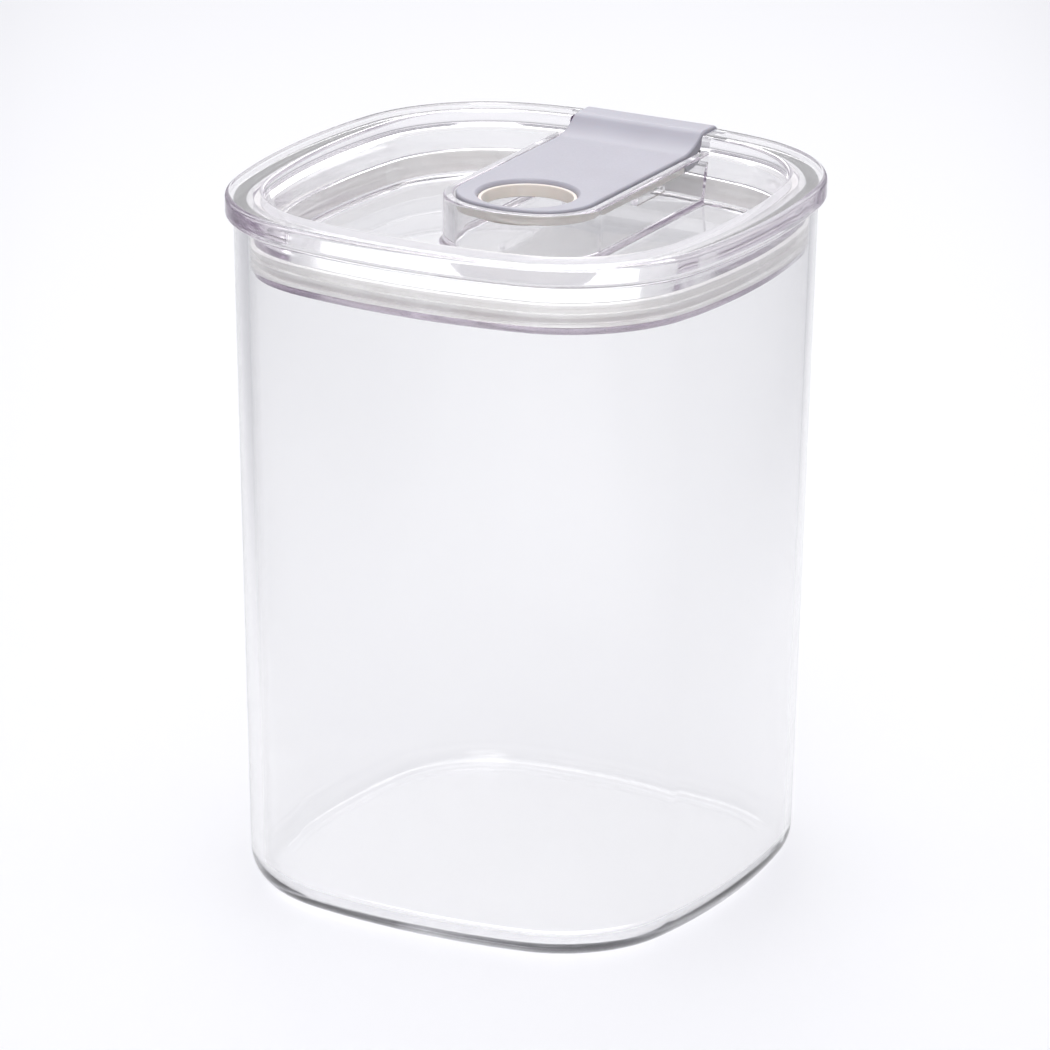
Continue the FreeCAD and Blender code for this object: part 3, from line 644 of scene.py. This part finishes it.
meet_angle = math.acos((hinge_z - (crest_z - LEVER_DEPTH)) / BARREL_RADIUS)
for step in range(MEET_STEPS):
    angle = meet_angle * (1 - step / MEET_STEPS)
    y = hinge_y - BARREL_RADIUS * math.sin(angle)
    lever_rows.append((LEVER_HALF, y, crest_z, hinge_z - BARREL_RADIUS * math.cos(angle)))
for step in range(BARREL_STEPS + 1):
    angle = math.pi / 2 * step / BARREL_STEPS
    lift = BARREL_RADIUS * math.cos(angle)
    y = hinge_y + BARREL_RADIUS * math.sin(angle)
    lever_rows.append((LEVER_HALF, y, hinge_z + lift, hinge_z - lift))
lever_shell, pairs = new_strip("LeverShell", len(lever_rows))
for (left, right), (half, y, top, under) in zip(pairs, lever_rows):
    left.co = (-half * MM, y * MM, top * MM)
    right.co = (half * MM, y * MM, top * MM)
bmesh.update_edit_mesh(lever_shell.data)
bpy.ops.mesh.select_all(action="SELECT")
bpy.ops.mesh.extrude_region_move(TRANSFORM_OT_translate={"value": (0, 0, -LEVER_DEPTH * MM)})
under_points = [vertex for vertex in bmesh.from_edit_mesh(lever_shell.data).verts if vertex.select]
under_points.sort(key=lambda vertex: (round(vertex.co.y, 7), vertex.co.x))
for number, (half, y, top, under) in enumerate(lever_rows):
    for vertex in under_points[2 * number:2 * number + 2]:
        vertex.co.z = under * MM
bmesh.update_edit_mesh(lever_shell.data)
bpy.ops.mesh.select_all(action="SELECT")
bpy.ops.mesh.remove_doubles(threshold=WELD_SLACK * MM)
bpy.ops.mesh.dissolve_limited(angle_limit=FLAT_ANGLE)
face_outwards()
bpy.ops.mesh.select_mode(type="EDGE")
bpy.ops.mesh.select_all(action="DESELECT")
bpy.ops.mesh.edges_select_sharp(sharpness=SHARP_ANGLE)
bpy.ops.mesh.bevel(offset=LEVER_EDGE * MM, segments=4, affect="EDGES")
bpy.ops.object.mode_set(mode="OBJECT")
liner_top = plate_top - PLATE_THICKNESS
liner_step = new_block(
    "LinerStep",
    (-2 * LEVER_HALF, -2 * LEVER_HALF, lever_under - LEVER_DEPTH),
    (2 * LEVER_HALF, LINER_END + LINER_GAP, liner_top),
)
combine(lever_shell, liner_step, "DIFFERENCE")
round_plan = []
for step in range(HOLE_STEPS):
    angle = math.tau * step / HOLE_STEPS
    round_plan.append((Vector((0, 0)), FINGER_RADIUS, Vector((math.cos(angle), math.sin(angle)))))
hole_inset = -(RING_WALL + RING_FIT)
hole_profile = [(hole_inset, lever_under - LEVER_DEPTH)]
hole_edge = hole_inset - HOLE_ROUND
hole_profile += round_corner(hole_edge, plate_top - HOLE_ROUND + CUT_PAST, HOLE_ROUND, 180, 90, steps=8)
hole_profile += [(hole_edge, plate_top + LEVER_DEPTH)]
hole = moulded_skin("LeverHole", round_plan, hole_profile)
combine(lever_shell, hole, "DIFFERENCE")
bore = new_rod("BarrelBore", PIN_RADIUS + PIN_FIT, 3 * LEVER_HALF, hinge_line, along_x, PIN_SIDES)
combine(lever_shell, bore, "DIFFERENCE")
smooth_flats(lever_shell)


def satin_plastic(name, dark, light, grain, gloss_low, gloss_high):
    """Opaque moulded plastic with a spark-eroded satin texture: fine even grain in the gloss, and a
    slow drift of colour. The grain is drawn a little coarser than the real 0.1 mm so that it shows."""
    material, tree, output = new_material(name)
    place = add_node(tree, "ShaderNodeTexCoord")
    drift = add_node(
        tree,
        "ShaderNodeTexNoise",
        {"Scale": 1 / (DRIFT_SIZE * MM), "Detail": 2.0},
        {"Vector": place.outputs["Object"]},
    )
    colour = add_node(tree, "ShaderNodeValToRGB", None, {"Fac": drift.outputs["Fac"]})
    colour.color_ramp.elements[0].position = 0.3
    colour.color_ramp.elements[0].color = linear(dark)
    colour.color_ramp.elements[1].position = 0.7
    colour.color_ramp.elements[1].color = linear(light)
    texture = add_node(
        tree,
        "ShaderNodeTexNoise",
        {"Scale": 1 / (grain * MM), "Detail": 2.0},
        {"Vector": place.outputs["Object"]},
    )
    gloss = add_node(
        tree,
        "ShaderNodeMapRange",
        {"From Min": 0.3, "From Max": 0.7, "To Min": gloss_low, "To Max": gloss_high},
        {"Value": texture.outputs["Fac"]},
    )
    bump = add_node(
        tree,
        "ShaderNodeBump",
        {"Strength": 0.12, "Distance": GRAIN_DEPTH * MM},
        {"Height": texture.outputs["Fac"]},
    )
    plastic = add_node(
        tree,
        "ShaderNodeBsdfPrincipled",
        {"IOR": 1.5, "Subsurface Weight": 0.06, "Subsurface Scale": BLEED_DEPTH * MM},
        {
            "Base Color": colour.outputs["Color"],
            "Roughness": gloss.outputs["Result"],
            "Normal": bump.outputs["Normal"],
        },
    )
    tree.links.new(plastic.outputs["BSDF"], output.inputs["Surface"])
    return material


lever_plastic = satin_plastic(
    "SatinLilacAbs", dark="a3a1ab", light="aaa8b2", grain=0.35, gloss_low=0.34, gloss_high=0.46
)
lever_shell.data.materials.clear()
lever_shell.data.materials.append(lever_plastic)
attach(lever_shell, "lever")
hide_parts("lever_shell")

# Lever liner: a warm ivory polypropylene plate welded under the lever's front.
# It has the lever's outline, so its edge shows as a pale band below the plate, and the same finger hole.
LINER_INSET = 0.15
LINER_EDGE = 0.25

liner_rows = []
for centre, radius, way in front_half:
    spot = centre + (radius - LINER_INSET) * way
    liner_rows.append((spot.x, spot.y))
liner_rows.append((LEVER_HALF - LINER_INSET, LINER_END))
lever_liner, pairs = new_strip("LeverLiner", len(liner_rows))
for (left, right), (half, y) in zip(pairs, liner_rows):
    left.co = (-half * MM, y * MM, liner_top * MM)
    right.co = (half * MM, y * MM, liner_top * MM)
bmesh.update_edit_mesh(lever_liner.data)
bpy.ops.mesh.select_all(action="SELECT")
liner_drop = (lever_under - liner_top) * MM
bpy.ops.mesh.extrude_region_move(TRANSFORM_OT_translate={"value": (0, 0, liner_drop)})
bpy.ops.mesh.select_all(action="SELECT")
bpy.ops.mesh.dissolve_limited(angle_limit=FLAT_ANGLE)
face_outwards()
bpy.ops.mesh.select_mode(type="EDGE")
bpy.ops.mesh.select_all(action="DESELECT")
bpy.ops.mesh.edges_select_sharp(sharpness=SHARP_ANGLE)
bpy.ops.mesh.bevel(offset=LINER_EDGE * MM, segments=2, affect="EDGES")
bpy.ops.object.mode_set(mode="OBJECT")
liner_hole = new_rod(
    "LinerHole", FINGER_RADIUS - hole_inset, 3 * LEVER_DEPTH, (0, 0, lever_under), (0, 0, 0), HOLE_STEPS
)
combine(lever_liner, liner_hole, "DIFFERENCE")
smooth_flats(lever_liner)
liner_plastic = satin_plastic(
    "IvoryPolypropylene", dark="eee8e2", light="f4efea", grain=0.4, gloss_low=0.4, gloss_high=0.52
)
lever_liner.data.materials.clear()
lever_liner.data.materials.append(liner_plastic)
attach(lever_liner, "lever")
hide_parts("lever_liner")

# Finger ring: a soft ivory sleeve pushed up through the liner and the lever plate.
# A flat lip under the liner stops it, its top end lies below the plate's rounded edge,
# and a fingertip goes through it.
RING_LIP = 0.7
RING_LIP_HEIGHT = 0.6
RING_EDGE = 0.25

ring_top = plate_top - HOLE_ROUND
ring_bottom = lever_under - RING_LIP_HEIGHT
sleeve_middle = RING_EDGE - RING_WALL
lip_middle = RING_EDGE - RING_WALL - RING_LIP
ring_profile = round_corner(-RING_EDGE, ring_top - RING_EDGE, RING_EDGE, 180, 90, steps=3)
ring_profile += round_corner(sleeve_middle, ring_top - RING_EDGE, RING_EDGE, 90, 0, steps=3)
ring_profile += [(-RING_WALL, lever_under), (-RING_WALL - RING_LIP, lever_under)]
ring_profile += round_corner(lip_middle, ring_bottom + RING_EDGE, RING_EDGE, 0, -90, steps=3)
ring_profile += round_corner(-RING_EDGE, ring_bottom + RING_EDGE, RING_EDGE, -90, -180, steps=3)
finger_ring = moulded_skin("FingerRing", round_plan, ring_profile, ring=True)
smooth_flats(finger_ring)
ring_rubber = satin_plastic(
    "IvoryElastomer", dark="e9e0d7", light="f0e8e0", grain=0.5, gloss_low=0.45, gloss_high=0.6
)
finger_ring.data.materials.append(ring_rubber)
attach(finger_ring, "lever")
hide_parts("finger_ring")

# Floor: a plain pale sheet of matt paper under the jar, which takes a soft contact shadow.
# It is white along the line of view and turns slowly to pale grey on both sides: this grey is painted
# shade for the dimmer studio away from the soft box, so that the jar's clear edges have something a little
# darker to mirror.
VIEW_TURN = math.radians(28.49)
FLOOR_SIZE = 40.0
FLOOR_DROP = 0.2
WHITE_HALF = 0.12
GREY_HALF = 0.28

bpy.ops.object.select_all(action="DESELECT")
bpy.ops.mesh.primitive_plane_add(size=FLOOR_SIZE, location=(0, 0, -FLOOR_DROP * MM))
studio_floor = bpy.context.object
studio_floor.name = "StudioFloor"
paper, tree, output = new_material("MattWhitePaper")
place = add_node(tree, "ShaderNodeTexCoord")
turned = add_node(
    tree, "ShaderNodeMapping", {"Rotation": (0, 0, -VIEW_TURN)}, {"Vector": place.outputs["Object"]}
)
across = add_node(tree, "ShaderNodeSeparateXYZ", None, {"Vector": turned.outputs["Vector"]})
aside = add_node(tree, "ShaderNodeMath", {"operation": "ABSOLUTE"}, {"Value": across.outputs["X"]})
# Painted shade: the floor's colour greys with its distance from the line of view.
painted_side_shade = add_node(tree, "ShaderNodeValToRGB", None, {"Fac": aside.outputs["Value"]})
painted_side_shade.color_ramp.interpolation = "EASE"
painted_side_shade.color_ramp.elements[0].position = WHITE_HALF
painted_side_shade.color_ramp.elements[0].color = linear("f4f4f5")
painted_side_shade.color_ramp.elements[1].position = GREY_HALF
painted_side_shade.color_ramp.elements[1].color = linear("d6d6d8")
matt = add_node(
    tree, "ShaderNodeBsdfPrincipled", {"Roughness": 0.9}, {"Base Color": painted_side_shade.outputs["Color"]}
)
tree.links.new(matt.outputs["BSDF"], output.inputs["Surface"])
studio_floor.data.materials.append(paper)

# Studio light: one long soft box overhead, in line with the camera, so that the floor is brightest
# under the jar and falls off to its sides, and a pale surround that the clear rim mirrors.
# Light may bounce often, because it goes through many clear walls before it comes out again.
SOFT_BOX_WIDTH = 0.3
SOFT_BOX_LENGTH = 1.6
SOFT_BOX_HEIGHT = 0.62
SOFT_BOX_BEHIND = 0.25
SOFT_BOX_POWER = 4.3
SKY = ((0.0, "c0c0c6"), (0.1, "e8e8ec"), (0.3, "f8f8fa"), (0.46, "f8f8fa"), (0.7, "9a9aa2"))
SKY_STRENGTH = 1.05
CLEAR_BOUNCES = 64
SHADOW_BOUNCES = 24

lamp = bpy.data.lights.new("OverheadSoftBox", "AREA")
lamp.shape = "RECTANGLE"
lamp.size = SOFT_BOX_WIDTH
lamp.size_y = SOFT_BOX_LENGTH
lamp.energy = SOFT_BOX_POWER
soft_box = bpy.data.objects.new("OverheadSoftBox", lamp)
bpy.context.scene.collection.objects.link(soft_box)
soft_box.location = (
    -SOFT_BOX_BEHIND * math.sin(VIEW_TURN), SOFT_BOX_BEHIND * math.cos(VIEW_TURN), SOFT_BOX_HEIGHT
)
soft_box.rotation_euler = (0, 0, VIEW_TURN)
world = bpy.data.worlds.new("StudioSurround")
bpy.context.scene.world = world
world.use_nodes = True
tree = world.node_tree
tree.nodes.clear()
output = add_node(tree, "ShaderNodeOutputWorld")
place = add_node(tree, "ShaderNodeTexCoord")
height = add_node(tree, "ShaderNodeSeparateXYZ", None, {"Vector": place.outputs["Generated"]})
sky = add_node(tree, "ShaderNodeValToRGB", None, {"Fac": height.outputs["Z"]})
bands = sky.color_ramp.elements
bands.remove(bands[1])
bands[0].position = SKY[0][0]
bands[0].color = linear(SKY[0][1])
for position, code in SKY[1:]:
    bands.new(position).color = linear(code)
surround = add_node(
    tree, "ShaderNodeBackground", {"Strength": SKY_STRENGTH}, {"Color": sky.outputs["Color"]}
)
tree.links.new(surround.outputs["Background"], output.inputs["Surface"])
studio = bpy.context.scene
studio.view_settings.view_transform = "Standard"
studio.cycles.max_bounces = CLEAR_BOUNCES
studio.cycles.glossy_bounces = CLEAR_BOUNCES
studio.cycles.transmission_bounces = CLEAR_BOUNCES
studio.cycles.transparent_max_bounces = SHADOW_BOUNCES

# Camera: a long lens at the photograph's height and angle, with its slight roll.
VIEW_RISE = math.radians(18.84)
VIEW_ROLL = math.radians(0.444)
VIEW_DISTANCE = 1.4458
VIEW_TARGET = Vector((0, 0, 0.074745))
VIEW_FAR = 50.0
LENS_LENGTH = 240.0
SENSOR_WIDTH = 36.0

back = Vector((
    math.sin(VIEW_TURN) * math.cos(VIEW_RISE),
    -math.cos(VIEW_TURN) * math.cos(VIEW_RISE),
    math.sin(VIEW_RISE),
))
lens = bpy.data.cameras.new("StudioCamera")
lens.sensor_width = SENSOR_WIDTH
lens.lens = LENS_LENGTH
lens.clip_end = VIEW_FAR
camera = bpy.data.objects.new("StudioCamera", lens)
bpy.context.scene.collection.objects.link(camera)
level = back.to_track_quat("Z", "Y").to_matrix().to_4x4()
stand = Matrix.Translation(VIEW_TARGET + back * VIEW_DISTANCE)
camera.matrix_world = stand @ level @ Matrix.Rotation(VIEW_ROLL, 4, "Z")
bpy.context.scene.camera = camera
